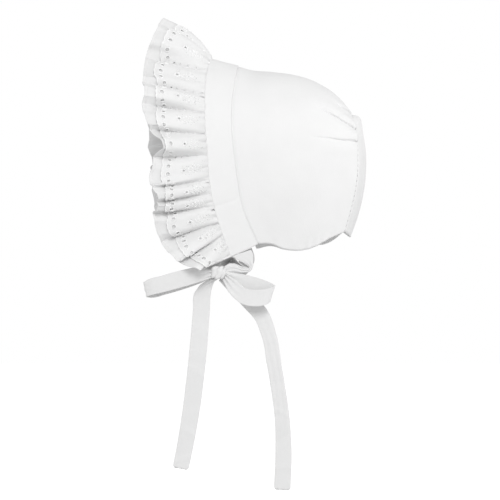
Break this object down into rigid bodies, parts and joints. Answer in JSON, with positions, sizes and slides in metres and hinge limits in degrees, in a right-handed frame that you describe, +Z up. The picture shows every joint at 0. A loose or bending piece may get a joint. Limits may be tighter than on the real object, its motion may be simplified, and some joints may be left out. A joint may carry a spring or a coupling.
{
  "type": "baby bonnet",
  "caption": "Soft cotton baby bonnet with a gathered eyelet ruffle over a plain under ruffle round the face and ties in a bow under the chin.",
  "frame": {"origin": "inner top of the crown, where the bonnet sits on the head", "axes": "-X towards the face, +X towards the back of the head, -Y the wearer's left side with the bow, +Z up"},
  "size_m": [0.2034, 0.1667, 0.4271],
  "materials": {
    "crown_cotton": "matte plain weave",
    "eyelet_cotton": "matte eyelet embroidery",
    "ruffle_cotton": "matte plain weave",
    "tie_cotton": "matte plain weave"
  },
  "bodies": {
    "root": {"crown": "crown_cotton", "back_panel": "crown_cotton", "front_band": "crown_cotton", "eyelet_ruffle": "eyelet_cotton", "plain_ruffle": "ruffle_cotton", "tie_near": "tie_cotton", "tie_far": "tie_cotton", "bow_knot": "tie_cotton", "bow_loop_left": "tie_cotton", "bow_loop_right": "tie_cotton", "tie_end_left": "tie_cotton", "tie_end_right": "tie_cotton"}
  },
  "joints": []
}
